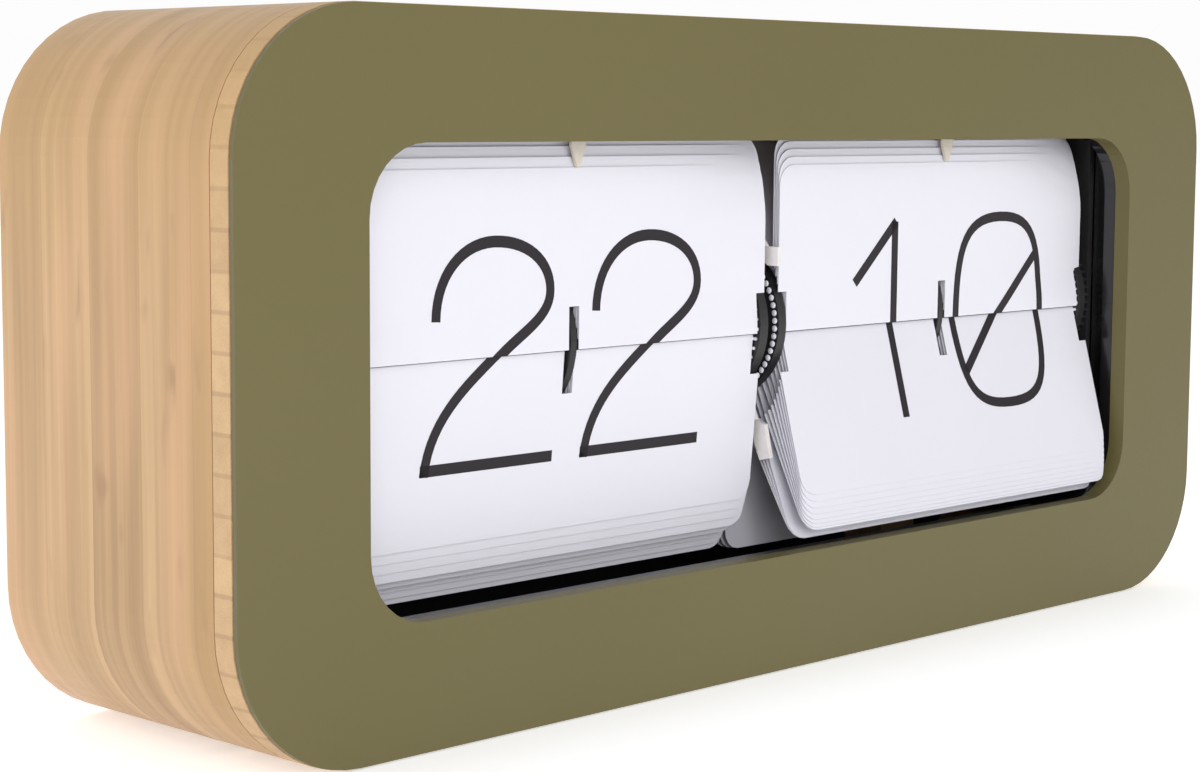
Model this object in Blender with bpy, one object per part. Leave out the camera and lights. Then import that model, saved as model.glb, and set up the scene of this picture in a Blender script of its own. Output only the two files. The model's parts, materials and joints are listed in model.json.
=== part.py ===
"""Flip number clock: wooden case, two leaf drums on one axle, drive train and battery.

Units are metres, +Z is up and the display faces -Y.  The origin is at the middle of
the underside of the case.  Each object is one solid piece of the clock.
"""
import math

import bmesh
import bpy
from mathutils import Matrix, Vector

MM = 0.001
GAP = 0.3 * MM

# ---------------------------------------------------------------- case
CASE_WIDTH = 360.0 * MM
CASE_HEIGHT = 162.4 * MM
CASE_DEPTH = 84.0 * MM
CASE_RADIUS = 32.9 * MM
CASE_WALL = 7.0 * MM
FRONT_Y = -CASE_DEPTH / 2
MIDDLE_Z = CASE_HEIGHT / 2
FASCIA_THICKNESS = 1.2 * MM
BOARD_THICKNESS = 5.8 * MM
WINDOW_MARGIN_X = 35.8 * MM
WINDOW_MARGIN_Z = 29.3 * MM
WINDOW_WIDTH = CASE_WIDTH - 2 * WINDOW_MARGIN_X
WINDOW_HEIGHT = CASE_HEIGHT - 2 * WINDOW_MARGIN_Z
WINDOW_RADIUS = 16.0 * MM
FLANGE_THICKNESS = 1.2 * MM
FLANGE_DEPTH = 4.8 * MM
BOARD_Y = FRONT_Y + FASCIA_THICKNESS + GAP
SHELL_Y = BOARD_Y + BOARD_THICKNESS + GAP
BACK_RECESS = 3.0 * MM
PANEL_THICKNESS = 3.0 * MM
PANEL_Y = CASE_DEPTH / 2 - BACK_RECESS - PANEL_THICKNESS
SCREW_X = 120.0 * MM
SCREW_INSET_Z = 12.5 * MM
SCREW_POINTS = [(side * SCREW_X, z) for z in (SCREW_INSET_Z, CASE_HEIGHT - SCREW_INSET_Z)
                for side in (-1, 1)]
SCREW_SHANK = 1.4 * MM
SCREW_HOLE = 1.8 * MM
SCREW_HEAD = 3.0 * MM
SCREW_HEAD_HEIGHT = 1.6 * MM
SCREW_REACH = 10.0 * MM
CLEAT_SIZE = 8.0 * MM
CLEAT_LENGTH = 14.0 * MM

# ---------------------------------------------------------------- drums and leaves
AXLE_Y = FRONT_Y + 32.0 * MM
AXLE_Z = 86.2 * MM
AXLE_RADIUS = 2.5 * MM
RUNNING_CLEARANCE = 0.12 * MM
PIN_CIRCLE = 19.0 * MM
DISC_RADIUS = 20.3 * MM
DISC_THICKNESS = 3.0 * MM
CENTRE_DISC_THICKNESS = 2.0 * MM
HUB_RADIUS = 5.5 * MM
DRUM_X = 71.1 * MM
LEAF_HALF_WIDTH = 68.8 * MM
LEAF_LENGTH = 41.6 * MM
LEAF_THICKNESS = 0.2 * MM
LEAF_CORNER = 5.0 * MM
NOTCH_DEPTH = 10.2 * MM
END_NOTCH = 3.2 * MM
CENTRE_NOTCH = 3.3 * MM
PIN_RADIUS = 0.45 * MM
TAB_HALF = 0.4 * MM
TAB_LENGTH = 0.4 * MM
PIN_HOLE = 0.72 * MM
PIN_END = 69.3 * MM
DISC_OUTER_FACE = LEAF_HALF_WIDTH + 0.3 * MM
LEAF_LEAN = 0.3
STACK_STEP = 0.3 * MM
STACK_CLEARANCE = 0.3 * MM

MINUTE = {
    "name": "minute", "x": DRUM_X, "leaves": 60, "first_top": -3.3, "hinge_edge": 0.85 * MM,
    "top_count": 5, "top_offset": -0.70 * MM, "low_count": 8, "low_offset": -0.30 * MM,
}
HOUR = {
    "name": "hour", "x": -DRUM_X, "leaves": 48, "first_top": -2.6, "hinge_edge": 1.05 * MM,
    "top_count": 4, "top_offset": -0.60 * MM, "low_count": 6, "low_offset": -0.65 * MM,
}
MINUTE_FRONT_TILT = 14.8
HOUR_TILTS = (-5.0, -5.3, -4.9, -4.1, -6.0, -7.0)

# ---------------------------------------------------------------- frame inside the case
PLATE_X = 144.5 * MM
PLATE_THICKNESS = 2.0 * MM
PLATE_FRONT_Y = FRONT_Y + 14.0 * MM
PLATE_LOW_BACK_Y = FRONT_Y + 43.0 * MM
PLATE_HIGH_BACK_Y = PANEL_Y - GAP
PLATE_STEP_Z = 82.0 * MM
PLATE_BOTTOM_Z = 9.0 * MM
PLATE_TOP_Z = 150.0 * MM
LINER_WALL = 1.6 * MM
LINER_HALF_WIDTH = 147.0 * MM
LINER_BOTTOM_Z = 24.0 * MM
LINER_TOP_Z = 152.0 * MM
LINER_DEPTH = 6.1 * MM
LINER_RADIUS = 12.0 * MM
LINER_WEB = 1.0 * MM
LINER_SLEEVE_INSET = 0.25 * MM
RAIL_FRONT_Y = SHELL_Y + LINER_WEB + GAP
RAIL_BACK_Y = RAIL_FRONT_Y + 1.2 * MM
RAIL_BOTTOM_Z = 136.5 * MM
RAIL_TOP_Z = 150.0 * MM
TOP_RAIL_END = 132.0 * MM
BASE_RAIL_LOW = (FRONT_Y + 18.0 * MM, 12.0 * MM)
BASE_RAIL_HIGH = (FRONT_Y + 60.0 * MM, 15.0 * MM)

# ---------------------------------------------------------------- fingers and carry lever
FINGER_THICKNESS = 0.8 * MM
FINGER_Y = FRONT_Y + 11.0 * MM
FINGER_PIVOT_Z = 141.0 * MM
FINGER_TIP_Z = 127.05 * MM
FINGER_TIP_HALF = 0.5 * MM
FINGER_HALF = 2.4 * MM
FINGER_TAPER = 5.0 * MM
BARREL_RADIUS = 0.75 * MM
BARREL_HALF = 3.2 * MM
LEVER_THICKNESS = 1.4 * MM
LEVER_PIVOT = (FRONT_Y + 58.4 * MM, 102.7 * MM)
LEVER_PIN_RADIUS = 1.5 * MM
LEVER_BOSS_RADIUS = 4.0 * MM
LEVER_INNER_RADIUS = 24.5 * MM
LEVER_OUTER_RADIUS = 30.0 * MM
BRACKET_Y = FRONT_Y + 66.0 * MM

# ---------------------------------------------------------------- gears
MODULE = 0.7 * MM
GEAR_X = 140.6 * MM
GEAR_WIDTH = 2.8 * MM
DRIVE_TEETH = 54
IDLER_TEETH = 24
THUMB_TEETH = 24
PINION_TEETH = 10
IDLER_DIRECTION = 30.0
THUMB_DIRECTION = 15.2
PINION_DIRECTION = 120.0
SHAFT_RADIUS = 1.5 * MM
SHAFT_HOLE = 1.9 * MM
THUMB_X = 147.2 * MM
THUMB_WIDTH = 5.0 * MM
THUMB_RADIUS = 11.5 * MM
MOTOR_RADIUS = 10.4 * MM
MOTOR_LENGTH = 16.0 * MM

# ---------------------------------------------------------------- battery bay
BATTERY_X = 156.0 * MM
BATTERY_Y = FRONT_Y + 61.0 * MM
BATTERY_RADIUS = 13.1 * MM
BATTERY_BOTTOM_Z = 26.0 * MM
BATTERY_LENGTH = 48.5 * MM
TERMINAL_RADIUS = 3.0 * MM
TERMINAL_HEIGHT = 1.5 * MM
BAY_HALF_WIDTH = 13.6 * MM
BAY_BOTTOM_Z = 25.4 * MM
BAY_TOP_Z = 80.0 * MM
CRADLE_LOW_X = 147.0 * MM
CRADLE_HIGH_X = 166.5 * MM
DOOR_THICKNESS = 2.0 * MM
DOOR_OVERLAP = 1.2 * MM

COLOURS = {
    "bamboo": ((0.62, 0.42, 0.24), 0.45, 0.0),
    "bamboo_end": ((0.55, 0.34, 0.17), 0.5, 0.0),
    "olive_lacquer": ((0.20, 0.18, 0.08), 0.4, 0.0),
    "black_plastic": ((0.02, 0.02, 0.02), 0.35, 0.0),
    "leaf_white": ((0.80, 0.80, 0.83), 0.4, 0.0),
    "ivory_plastic": ((0.72, 0.67, 0.58), 0.45, 0.0),
    "white_plastic": ((0.78, 0.75, 0.74), 0.45, 0.0),
    "steel": ((0.55, 0.55, 0.56), 0.25, 1.0),
    "gear_plastic": ((0.70, 0.68, 0.62), 0.4, 0.0),
    "battery_sleeve": ((0.10, 0.14, 0.25), 0.3, 0.2),
    "circuit_green": ((0.03, 0.18, 0.08), 0.4, 0.0),
}


def clear_scene():
    """Remove every object that the file starts with."""
    for obj in list(bpy.data.objects):
        bpy.data.objects.remove(obj, do_unlink=True)


def material(slot):
    """Return the Principled material of one slot, made on first use."""
    if slot in bpy.data.materials:
        return bpy.data.materials[slot]
    colour, roughness, metallic = COLOURS[slot]
    made = bpy.data.materials.new(slot)
    made.use_nodes = True
    shader = made.node_tree.nodes["Principled BSDF"]
    shader.inputs["Base Color"].default_value = (*colour, 1.0)
    shader.inputs["Roughness"].default_value = roughness
    shader.inputs["Metallic"].default_value = metallic
    made.diffuse_color = (*colour, 1.0)
    return made


# ---------------------------------------------------------------- outlines in a plane
def circle(radius, sides, centre=(0.0, 0.0), phase=0.0):
    """Points of a regular polygon whose corners lie on a circle."""
    points = []
    for i in range(sides):
        angle = phase + math.tau * i / sides
        points.append((centre[0] + radius * math.cos(angle), centre[1] + radius * math.sin(angle)))
    return points


def rounded_box(low, high, radius, steps):
    """Points of a rectangle with round corners, from its low and high corners."""
    centres = [
        (high[0] - radius, high[1] - radius), (low[0] + radius, high[1] - radius),
        (low[0] + radius, low[1] + radius), (high[0] - radius, low[1] + radius),
    ]
    points = []
    for quarter, centre in enumerate(centres):
        for i in range(steps + 1):
            angle = math.pi / 2 * (quarter + i / steps)
            points.append((centre[0] + radius * math.cos(angle),
                           centre[1] + radius * math.sin(angle)))
    return points


def box_outline(low, high):
    """The four corners of a rectangle."""
    return [(low[0], low[1]), (high[0], low[1]), (high[0], high[1]), (low[0], high[1])]


def gear_outline(teeth, centre, phase):
    """Trapezoid teeth: one tooth is centred on the angle phase."""
    pitch_radius = MODULE * teeth / 2
    tip = pitch_radius + 0.80 * MODULE
    root = pitch_radius - 1.05 * MODULE
    pitch = math.tau / teeth
    points = []
    for i in range(teeth):
        middle = phase + i * pitch
        for radius, part in ((root, -0.34), (tip, -0.13), (tip, 0.13), (root, 0.34)):
            angle = middle + part * pitch
            points.append((centre[0] + radius * math.cos(angle),
                           centre[1] + radius * math.sin(angle)))
    return points


# ---------------------------------------------------------------- solids
AXES = {
    "X": lambda u, v, w: Vector((w, u, v)),
    "Y": lambda u, v, w: Vector((u, w, v)),
    "Z": lambda u, v, w: Vector((u, v, w)),
}


def prism_mesh(axis, low, high, outline, holes=()):
    """Fill an outline with holes and extrude it along one axis between two planes."""
    place = AXES[axis]
    bm = bmesh.new()
    edges = []
    for loop in (outline, *holes):
        verts = [bm.verts.new(place(u, v, low)) for u, v in loop]
        edges += [bm.edges.new((verts[i - 1], verts[i])) for i in range(len(verts))]
    normal = place(0.0, 0.0, 1.0)
    faces = bmesh.ops.triangle_fill(bm, use_beauty=True, edges=edges, normal=normal)["geom"]
    faces = [item for item in faces if isinstance(item, bmesh.types.BMFace)]
    grown = bmesh.ops.extrude_face_region(bm, geom=faces)["geom"]
    moved = [item for item in grown if isinstance(item, bmesh.types.BMVert)]
    bmesh.ops.translate(bm, verts=moved, vec=normal * (high - low))
    bmesh.ops.recalc_face_normals(bm, faces=bm.faces)
    mesh = bpy.data.meshes.new("prism")
    bm.to_mesh(mesh)
    bm.free()
    return mesh


def shade(mesh):
    """Smooth round stretches and keep edges over 35 degrees sharp."""
    mesh.shade_smooth()
    mesh.set_sharp_from_angle(angle=math.radians(35))


def add_object(name, mesh, slot, origin=(0.0, 0.0, 0.0)):
    """Link a mesh given in world coordinates as an object with its origin at a point."""
    mesh.transform(Matrix.Translation(-Vector(origin)))
    mesh.name = name
    shade(mesh)
    obj = bpy.data.objects.new(name, mesh)
    obj.location = origin
    mesh.materials.append(material(slot))
    bpy.context.scene.collection.objects.link(obj)
    return obj


def joined(meshes):
    """Boolean union of overlapping closed meshes, as one mesh."""
    base = bpy.data.objects.new("base", meshes[0])
    bpy.context.scene.collection.objects.link(base)
    cutters = []
    for mesh in meshes[1:]:
        cutter = bpy.data.objects.new("cutter", mesh)
        bpy.context.scene.collection.objects.link(cutter)
        modifier = base.modifiers.new("union", "BOOLEAN")
        modifier.operation = "UNION"
        modifier.solver = "EXACT"
        modifier.object = cutter
        cutters.append(cutter)
    depsgraph = bpy.context.evaluated_depsgraph_get()
    result = bpy.data.meshes.new_from_object(base.evaluated_get(depsgraph))
    for obj in (base, *cutters):
        bpy.data.objects.remove(obj, do_unlink=True)
    return result


def prism(name, slot, axis, low, high, outline, holes=(), origin=(0.0, 0.0, 0.0)):
    """One extruded piece as an object."""
    return add_object(name, prism_mesh(axis, low, high, outline, holes), slot, origin)


# ---------------------------------------------------------------- case
def case_outline(inset):
    """The outline of the case, moved inwards by inset."""
    half = CASE_WIDTH / 2 - inset
    return rounded_box((-half, inset), (half, CASE_HEIGHT - inset), CASE_RADIUS - inset, 12)


def window_outline(grow):
    """The outline of the window, grown by a margin."""
    half = WINDOW_WIDTH / 2 + grow
    return rounded_box((-half, WINDOW_MARGIN_Z - grow), (half, CASE_HEIGHT - WINDOW_MARGIN_Z + grow),
                       WINDOW_RADIUS + grow, 8)


def build_case_shell():
    """Wooden wrap with a cleat in each corner that takes a screw of the back panel."""
    back = CASE_DEPTH / 2
    shell = prism_mesh("Y", SHELL_Y, back, case_outline(0.0), [case_outline(CASE_WALL)])
    cleats = []
    for x, z in SCREW_POINTS:
        outward = math.copysign(1.0, z - MIDDLE_Z)
        ends = sorted((z - outward * CLEAT_SIZE / 2, z + outward * CLEAT_SIZE))
        hole = circle(SCREW_HOLE, 8, (x, z))
        cleats.append(prism_mesh("Y", PANEL_Y - GAP - CLEAT_LENGTH, PANEL_Y - GAP,
                                 box_outline((x - CLEAT_SIZE, ends[0]), (x + CLEAT_SIZE, ends[1])),
                                 [hole]))
    add_object("case_shell", joined([shell, *cleats]), "bamboo")


def build_front():
    """Board with the window cut in it, and the lacquered fascia with its window flange."""
    prism("front_board", "bamboo_end", "Y", BOARD_Y, BOARD_Y + BOARD_THICKNESS,
          case_outline(0.0), [window_outline(FLANGE_THICKNESS + GAP)])
    face = prism_mesh("Y", FRONT_Y, FRONT_Y + FASCIA_THICKNESS, case_outline(0.2 * MM),
                      [window_outline(0.0)])
    flange = prism_mesh("Y", FRONT_Y + FASCIA_THICKNESS / 2, FRONT_Y + FLANGE_DEPTH,
                        window_outline(FLANGE_THICKNESS), [window_outline(0.0)])
    add_object("front_fascia", joined([face, flange]), "olive_lacquer")


def build_liner():
    """Black liner: a ring that hides the inside of the case, a web behind the board and a
    sleeve that covers the board's cut edge in the window."""
    low = (-LINER_HALF_WIDTH, LINER_BOTTOM_Z)
    high = (LINER_HALF_WIDTH, LINER_TOP_Z)
    outer_low = (low[0] - LINER_WALL, low[1] - LINER_WALL)
    outer_high = (high[0] + LINER_WALL, high[1] + LINER_WALL)
    outside = rounded_box(outer_low, outer_high, LINER_RADIUS + LINER_WALL, 6)
    opening = window_outline(LINER_SLEEVE_INSET)
    ring = prism_mesh("Y", SHELL_Y, SHELL_Y + LINER_DEPTH, outside,
                      [rounded_box(low, high, LINER_RADIUS, 6)])
    web = prism_mesh("Y", SHELL_Y, SHELL_Y + LINER_WEB, outside, [opening])
    sleeve = prism_mesh("Y", FRONT_Y + FLANGE_DEPTH + GAP, SHELL_Y + LINER_WEB / 2,
                        window_outline(FLANGE_THICKNESS), [opening])
    add_object("inner_liner", joined([ring, web, sleeve]), "black_plastic")


def battery_opening(grow):
    """Outline of the opening in the back panel that the battery goes through."""
    return box_outline((BATTERY_X - BAY_HALF_WIDTH - grow, BAY_BOTTOM_Z - grow),
                       (BATTERY_X + BAY_HALF_WIDTH + grow, BAY_TOP_Z + grow))


def build_back():
    """Back panel, its screws and the sliding battery door."""
    thumb_y, thumb_z = gear_centres()["thumb"]
    slot_half = THUMB_RADIUS * 0.9
    slot = box_outline((GEAR_X - 1.0 * MM, thumb_z - slot_half),
                       (THUMB_X + THUMB_WIDTH + 1.0 * MM, thumb_z + slot_half))
    holes = [battery_opening(0.0), slot]
    holes += [circle(SCREW_HOLE, 8, point) for point in SCREW_POINTS]
    panel_back = PANEL_Y + PANEL_THICKNESS
    prism("back_panel", "black_plastic", "Y", PANEL_Y, panel_back,
          case_outline(CASE_WALL + GAP), holes)
    head_y = panel_back + GAP
    for number, (x, z) in enumerate(SCREW_POINTS, 1):
        head = prism_mesh("Y", head_y, head_y + SCREW_HEAD_HEIGHT, circle(SCREW_HEAD, 12, (x, z)))
        shank = prism_mesh("Y", PANEL_Y - SCREW_REACH, head_y + SCREW_HEAD_HEIGHT / 2,
                           circle(SCREW_SHANK, 8, (x, z)))
        add_object(f"back_panel_screw_{number}", joined([head, shank]), "steel",
                   (x, head_y, z))
    door_y = panel_back + GAP
    cover = prism_mesh("Y", door_y, door_y + DOOR_THICKNESS, battery_opening(DOOR_OVERLAP))
    grip_low = (BATTERY_X - 7.0 * MM, BAY_TOP_Z - 8.0 * MM)
    grip_high = (BATTERY_X + 7.0 * MM, BAY_TOP_Z - 5.5 * MM)
    grip = prism_mesh("Y", door_y + 1.0 * MM, door_y + 2.6 * MM, box_outline(grip_low, grip_high))
    add_object("battery_door", joined([cover, grip]), "black_plastic",
               (BATTERY_X, door_y, BAY_BOTTOM_Z))


# ---------------------------------------------------------------- drums
def pin_point(angle_deg):
    """Place (y, z) of a hinge pin; the angle is measured upwards from the front."""
    angle = math.radians(angle_deg)
    return AXLE_Y - PIN_CIRCLE * math.cos(angle), AXLE_Z + PIN_CIRCLE * math.sin(angle)


def build_drum(drum):
    """Hub tube and three discs; the end discs carry one hole for each leaf."""
    name = drum["name"]
    centre = (AXLE_Y, AXLE_Z)
    origin = (drum["x"], AXLE_Y, AXLE_Z)
    bore = circle(AXLE_RADIUS + RUNNING_CLEARANCE, 16, centre)
    seat = circle(HUB_RADIUS + GAP / 2, 16, centre)
    step = 360.0 / drum["leaves"]
    holes = [circle(PIN_HOLE, 4, pin_point(drum["first_top"] + i * step), i * math.radians(-step))
             for i in range(drum["leaves"])]
    inner_face = DISC_OUTER_FACE - DISC_THICKNESS
    for side, label in ((-1, "left"), (1, "right")):
        faces = sorted((drum["x"] + side * inner_face, drum["x"] + side * DISC_OUTER_FACE))
        prism(f"{name}_disc_{label}", "black_plastic", "X", faces[0], faces[1],
              circle(DISC_RADIUS, 60, centre), [seat, *holes], origin)
    prism(f"{name}_disc_centre", "black_plastic", "X", drum["x"] - CENTRE_DISC_THICKNESS / 2,
          drum["x"] + CENTRE_DISC_THICKNESS / 2, circle(DISC_RADIUS - 0.6 * MM, 40, centre),
          [seat], origin)
    prism(f"{name}_hub", "black_plastic", "X", drum["x"] - DISC_OUTER_FACE,
          drum["x"] + DISC_OUTER_FACE, circle(HUB_RADIUS, 16, centre), [bore], origin)


# ---------------------------------------------------------------- leaves
def leaf_outline(drum):
    """Plate outline in (x, z) about the pin axis: notches, pin tabs and round corners."""
    half = LEAF_HALF_WIDTH
    edge = -drum["hinge_edge"]
    shoulder = edge + NOTCH_DEPTH
    notch = CENTRE_NOTCH / 2
    body = half - END_NOTCH
    right = [(body, edge), (body, -TAB_HALF), (body + TAB_LENGTH, -TAB_HALF),
             (body + TAB_LENGTH, TAB_HALF), (body, TAB_HALF), (body, shoulder), (half, shoulder)]
    for i in range(5):
        angle = math.pi / 2 * i / 4
        right.append((half - LEAF_CORNER * (1 - math.cos(angle)),
                      LEAF_LENGTH - LEAF_CORNER * (1 - math.sin(angle))))
    left = [(-x, z) for x, z in reversed(right)]
    slot = [(-notch, edge), (-notch, shoulder), (notch, shoulder), (notch, edge)]
    return slot + right + left


def leaf_mesh(drum, offset):
    """Thin plate with a cranked pin at each end; the pin axis is the local X axis."""
    plate = prism_mesh("Y", offset - LEAF_THICKNESS / 2, offset + LEAF_THICKNESS / 2,
                       leaf_outline(drum))
    pieces = [plate]
    crank_end = LEAF_HALF_WIDTH - END_NOTCH + TAB_LENGTH - 0.02 * MM
    crank = [(offset - 0.05 * MM, -0.3 * MM), (0.3 * MM, -0.3 * MM),
             (0.3 * MM, 0.3 * MM), (offset - 0.05 * MM, 0.3 * MM)]
    for side in (-1, 1):
        ends = sorted((side * (crank_end - 0.28 * MM), side * crank_end))
        pieces.append(prism_mesh("X", ends[0], ends[1], crank))
        ends = sorted((side * (crank_end - 0.2 * MM), side * PIN_END))
        pieces.append(prism_mesh("X", ends[0], ends[1], circle(PIN_RADIUS, 6)))
    return joined(pieces)


def add_leaf(name, drum, pin_angle, turn_deg, offset):
    """A leaf on its pin, turned about X from upright; a half turn hangs it down."""
    y, z = pin_point(pin_angle)
    mesh = leaf_mesh(drum, offset)
    mesh.name = name
    mesh.transform(Matrix.Rotation(math.radians(turn_deg), 4, "X"))
    mesh.transform(Matrix.Translation((drum["x"], y, z)))
    add_object(name, mesh, "leaf_white", (drum["x"], y, z))


def plane_gap(pin_a, pin_b, tilt_deg):
    """Distance between two parallel hanging leaves, along their normal."""
    tilt = math.radians(tilt_deg)
    return (pin_b[0] - pin_a[0]) * math.cos(tilt) + (pin_a[1] - pin_b[1]) * math.sin(tilt)


def minute_tilts(pin_angles):
    """Each hanging leaf leans on the one in front until their free edges nearly touch."""
    tilts = [MINUTE_FRONT_TILT]
    for i in range(1, len(pin_angles)):
        spare = plane_gap(pin_point(pin_angles[i - 1]), pin_point(pin_angles[i]), tilts[-1])
        tilts.append(tilts[-1] + math.degrees(math.asin((spare - STACK_CLEARANCE) / LEAF_LENGTH)))
    return tilts


def build_leaves(drum, tilts_of):
    """Upright leaves above the seam and hanging leaves below it, front ones first."""
    step = 360.0 / drum["leaves"]
    for i in range(drum["top_count"]):
        offset = min(0.0, drum["top_offset"] + i * STACK_STEP)
        add_leaf(f"{drum['name']}_leaf_top_{i + 1}", drum, drum["first_top"] + i * step,
                 LEAF_LEAN, offset)
    angles = [drum["first_top"] - (i + 1) * step for i in range(drum["low_count"])]
    for i, (angle, tilt) in enumerate(zip(angles, tilts_of(angles))):
        add_leaf(f"{drum['name']}_leaf_low_{i + 1}", drum, angle, 180.0 - tilt,
                 drum["low_offset"])


def hour_tilts(pin_angles):
    """The hanging hour leaves all lean back a little."""
    return HOUR_TILTS[:len(pin_angles)]


# ---------------------------------------------------------------- gear train
def gear_centres():
    """Axes (y, z) of the gears, from the drum axle outwards."""
    centres = {"drive": (AXLE_Y, AXLE_Z)}

    def beside(centre, teeth_a, teeth_b, direction):
        distance = MODULE * (teeth_a + teeth_b) / 2
        angle = math.radians(direction)
        return centre[0] + distance * math.cos(angle), centre[1] + distance * math.sin(angle)

    centres["idler"] = beside(centres["drive"], DRIVE_TEETH, IDLER_TEETH, IDLER_DIRECTION)
    centres["thumb"] = beside(centres["idler"], IDLER_TEETH, THUMB_TEETH, THUMB_DIRECTION)
    centres["pinion"] = beside(centres["idler"], IDLER_TEETH, PINION_TEETH, PINION_DIRECTION)
    return centres


def meshed_phase(teeth_a, phase_a, teeth_b, direction_deg):
    """Phase that puts a gap of gear B on the nearest tooth of gear A."""
    direction = math.radians(direction_deg)
    pitch_a = math.tau / teeth_a
    offset = (phase_a - direction + pitch_a / 2) % pitch_a - pitch_a / 2
    gap = direction + math.pi - offset * teeth_a / teeth_b
    return gap + math.pi / teeth_b


def build_gears():
    """Drive gear on the drum, idler, motor pinion and the wheel that sets the time."""
    centres = gear_centres()
    low, high = GEAR_X, GEAR_X + GEAR_WIDTH
    drive_phase = math.radians(IDLER_DIRECTION)
    idler_phase = meshed_phase(DRIVE_TEETH, drive_phase, IDLER_TEETH, IDLER_DIRECTION)
    thumb_phase = meshed_phase(IDLER_TEETH, idler_phase, THUMB_TEETH, THUMB_DIRECTION)
    pinion_phase = meshed_phase(IDLER_TEETH, idler_phase, PINION_TEETH, PINION_DIRECTION)
    drive = centres["drive"]
    prism("minute_drive_gear", "black_plastic", "X", low, high,
          gear_outline(DRIVE_TEETH, drive, drive_phase),
          [circle(AXLE_RADIUS + RUNNING_CLEARANCE, 16, drive)], (low, *drive))

    idler = centres["idler"]
    wheel = prism_mesh("X", low, high, gear_outline(IDLER_TEETH, idler, idler_phase))
    shaft = prism_mesh("X", low + 1.0 * MM, PLATE_X + PLATE_THICKNESS + 0.3 * MM,
                       circle(SHAFT_RADIUS, 12, idler))
    add_object("idler_gear", joined([wheel, shaft]), "gear_plastic", (low, *idler))

    pinion = centres["pinion"]
    wheel = prism_mesh("X", low, high, gear_outline(PINION_TEETH, pinion, pinion_phase))
    shaft = prism_mesh("X", low + 1.0 * MM, THUMB_X - GAP, circle(SHAFT_RADIUS, 12, pinion))
    add_object("motor_pinion", joined([wheel, shaft]), "steel", (low, *pinion))

    thumb = centres["thumb"]
    wheel = prism_mesh("X", low, high, gear_outline(THUMB_TEETH, thumb, thumb_phase))
    shaft = prism_mesh("X", low + 1.0 * MM, THUMB_X + 1.0 * MM, circle(SHAFT_RADIUS, 12, thumb))
    ridges = []
    ridge_count = 30
    for i in range(ridge_count * 2):
        radius = THUMB_RADIUS if i % 2 else THUMB_RADIUS - 0.5 * MM
        angle = math.pi * i / ridge_count
        ridges.append((thumb[0] + radius * math.cos(angle), thumb[1] + radius * math.sin(angle)))
    rim = prism_mesh("X", THUMB_X, THUMB_X + THUMB_WIDTH, ridges)
    add_object("setting_thumbwheel", joined([wheel, shaft, rim]), "black_plastic", (low, *thumb))

    body = prism_mesh("X", THUMB_X, THUMB_X + MOTOR_LENGTH, circle(MOTOR_RADIUS, 24, pinion))
    flange = prism_mesh("X", THUMB_X, THUMB_X + 1.2 * MM,
                        box_outline((pinion[0] - 5.0 * MM, pinion[1] - 14.0 * MM),
                                    (pinion[0] + 5.0 * MM, pinion[1] + 14.0 * MM)))
    add_object("gear_motor", joined([body, flange]), "steel", (THUMB_X, *pinion))


# ---------------------------------------------------------------- inner frame
def plate_outline():
    """Side plate in (y, z): wide at the top, cut away below for the battery."""
    return [(PLATE_FRONT_Y, PLATE_BOTTOM_Z), (PLATE_LOW_BACK_Y, PLATE_BOTTOM_Z),
            (PLATE_LOW_BACK_Y, PLATE_STEP_Z), (PLATE_HIGH_BACK_Y, PLATE_STEP_Z),
            (PLATE_HIGH_BACK_Y, PLATE_TOP_Z - 14.0 * MM),
            (PLATE_HIGH_BACK_Y - 14.0 * MM, PLATE_TOP_Z), (PLATE_FRONT_Y, PLATE_TOP_Z)]


def build_frame():
    """Two bearing plates, the fixed axle, two rails and the bracket between the drums."""
    centres = gear_centres()
    axle_hole = circle(AXLE_RADIUS + RUNNING_CLEARANCE, 16, centres["drive"])
    shaft_holes = [circle(SHAFT_HOLE, 12, centres[key]) for key in ("idler", "thumb", "pinion")]
    prism("left_bearing_plate", "black_plastic", "X", -PLATE_X - PLATE_THICKNESS, -PLATE_X,
          plate_outline(), [axle_hole])
    prism("right_bearing_plate", "black_plastic", "X", PLATE_X, PLATE_X + PLATE_THICKNESS,
          plate_outline(), [axle_hole, *shaft_holes])
    reach = PLATE_X + PLATE_THICKNESS + 1.5 * MM
    prism("drum_axle", "steel", "X", -reach, reach, circle(AXLE_RADIUS, 16, centres["drive"]))
    rail_end = PLATE_X - GAP
    prism("base_rail", "black_plastic", "X", -rail_end, rail_end,
          box_outline(BASE_RAIL_LOW, BASE_RAIL_HIGH))
    prism("top_rail", "black_plastic", "X", -TOP_RAIL_END, TOP_RAIL_END,
          box_outline((RAIL_FRONT_Y, RAIL_BOTTOM_Z), (RAIL_BACK_Y, RAIL_TOP_Z)))


def build_finger(drum):
    """Retaining finger: a barrel on the rail and a blade that narrows to its tip."""
    x = drum["x"]
    left, right, shoulder = x - FINGER_HALF, x + FINGER_HALF, FINGER_TIP_Z + FINGER_TAPER
    blade_points = [(x - FINGER_TIP_HALF, FINGER_TIP_Z), (x + FINGER_TIP_HALF, FINGER_TIP_Z),
                    (right, shoulder), (right, FINGER_PIVOT_Z),
                    (left, FINGER_PIVOT_Z), (left, shoulder)]
    pivot_y = FINGER_Y + FINGER_THICKNESS / 2
    blade = prism_mesh("Y", FINGER_Y, FINGER_Y + FINGER_THICKNESS, blade_points)
    barrel = prism_mesh("X", x - BARREL_HALF, x + BARREL_HALF,
                        circle(BARREL_RADIUS, 12, (pivot_y, FINGER_PIVOT_Z)))
    add_object(f"{drum['name']}_retaining_finger", joined([blade, barrel]), "ivory_plastic",
               (x, pivot_y, FINGER_PIVOT_Z))


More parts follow.
